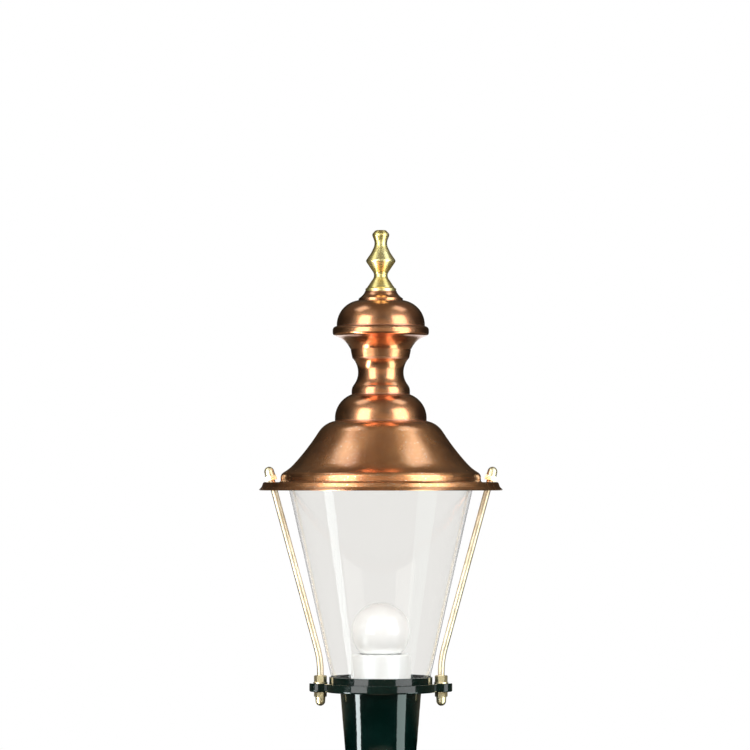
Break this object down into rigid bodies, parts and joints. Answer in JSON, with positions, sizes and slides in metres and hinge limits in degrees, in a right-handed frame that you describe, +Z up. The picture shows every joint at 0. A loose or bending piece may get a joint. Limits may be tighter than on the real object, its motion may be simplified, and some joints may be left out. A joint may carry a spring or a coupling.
{
  "type": "post top lantern",
  "caption": "Post top garden lantern with a spun copper roof on two brass tie rods over a clear conical shade, an opal lamp and a dark green cast post socket.",
  "frame": {"origin": "centre of the post socket's foot, where the lantern rests on a surface", "axes": "+Z up along the post's axis; the two tie rods stand on the left (-X) and on the right (+X); -Y is the front seen in the picture"},
  "size_m": [0.33, 0.33, 0.7443],
  "materials": {
    "green_paint": "dark green gloss paint on a cast aluminium body",
    "copper": "spun copper, polished and lacquered",
    "turned_brass": "turned and polished",
    "brass": "polished",
    "brass_rod": "drawn, satin",
    "spring_brass": "rolled strip",
    "clear_acrylic": "clear, smooth",
    "opal_glass": "opal white, smooth",
    "white_enamel": "white baked enamel, satin",
    "white_screws": "white paint",
    "porcelain": "glazed",
    "steel": "zinc plated",
    "nickel": "nickel plated",
    "black_nylon": "moulded, satin",
    "white_nylon": "moulded, satin",
    "lamp_black_glass": "black glass insulator",
    "rubber": "moulded"
  },
  "bodies": {
    "base": {"base_casting": "green_paint", "cable_gland": "black_nylon", "gland_cap": "black_nylon", "gland_locknut": "black_nylon", "gland_seal": "rubber", "terminal_block": "white_nylon", "terminal_screws": "steel", "earth_washer": "steel", "earth_screw": "steel", "lampholder_bracket": "steel", "bracket_screws": "steel", "lampholder": "porcelain", "lampholder_screws": "steel", "lampholder_shell": "nickel", "centre_contact": "spring_brass", "lamp_shroud": "white_enamel", "shroud_screws": "white_screws", "shade_gasket": "rubber", "shade": "clear_acrylic", "tie_rod_right": "brass_rod", "tie_rod_left": "brass_rod", "ear_washers": "brass", "ear_nuts": "brass", "lower_acorn_nuts": "brass"},
    "lamp": {"lamp_globe": "opal_glass", "lamp_cap": "nickel", "lamp_insulator": "lamp_black_glass", "lamp_contact": "nickel"},
    "roof": {"roof_gasket": "rubber", "roof_cone": "copper", "lower_dome": "copper", "neck_waist": "copper", "neck_flare": "copper", "cap_dome": "copper", "finial": "turned_brass", "reflector": "white_enamel", "centre_rod": "brass_rod", "roof_clamp_washer": "steel", "roof_clamp_nut": "steel", "reflector_lock_nut": "steel", "reflector_washer": "steel", "reflector_nut": "steel"},
    "set_screw_1": {"set_screw_1": "steel"},
    "set_screw_2": {"set_screw_2": "steel"},
    "set_screw_3": {"set_screw_3": "steel"},
    "top_nut_left": {"top_acorn_nut_left": "brass"},
    "top_nut_right": {"top_acorn_nut_right": "brass"}
  },
  "joints": [
    {"name": "roof_lift", "type": "slide", "parent": "base", "child": "roof", "axis": [0, 0, 1], "range_m": [0, 0.3]},
    {"name": "top_nut_left_off", "type": "slide", "parent": "roof", "child": "top_nut_left", "axis": [-0.2635, 0, 0.9646], "range_m": [0, 0.022]},
    {"name": "top_nut_right_off", "type": "slide", "parent": "roof", "child": "top_nut_right", "axis": [0.2635, 0, 0.9646], "range_m": [0, 0.022]},
    {"name": "lamp_turn", "type": "hinge", "parent": "base", "child": "lamp", "pos_m": [0, 0, 0.2], "axis": [0, 0, 1], "range_deg": [0, 1080]},
    {"name": "set_screw_1_out", "type": "slide", "parent": "base", "child": "set_screw_1", "axis": [0, 1, 0], "range_m": [0, 0.008]},
    {"name": "set_screw_2_out", "type": "slide", "parent": "base", "child": "set_screw_2", "axis": [-0.866, -0.5, 0], "range_m": [0, 0.008]},
    {"name": "set_screw_3_out", "type": "slide", "parent": "base", "child": "set_screw_3", "axis": [0.866, -0.5, 0], "range_m": [0, 0.008]}
  ]
}
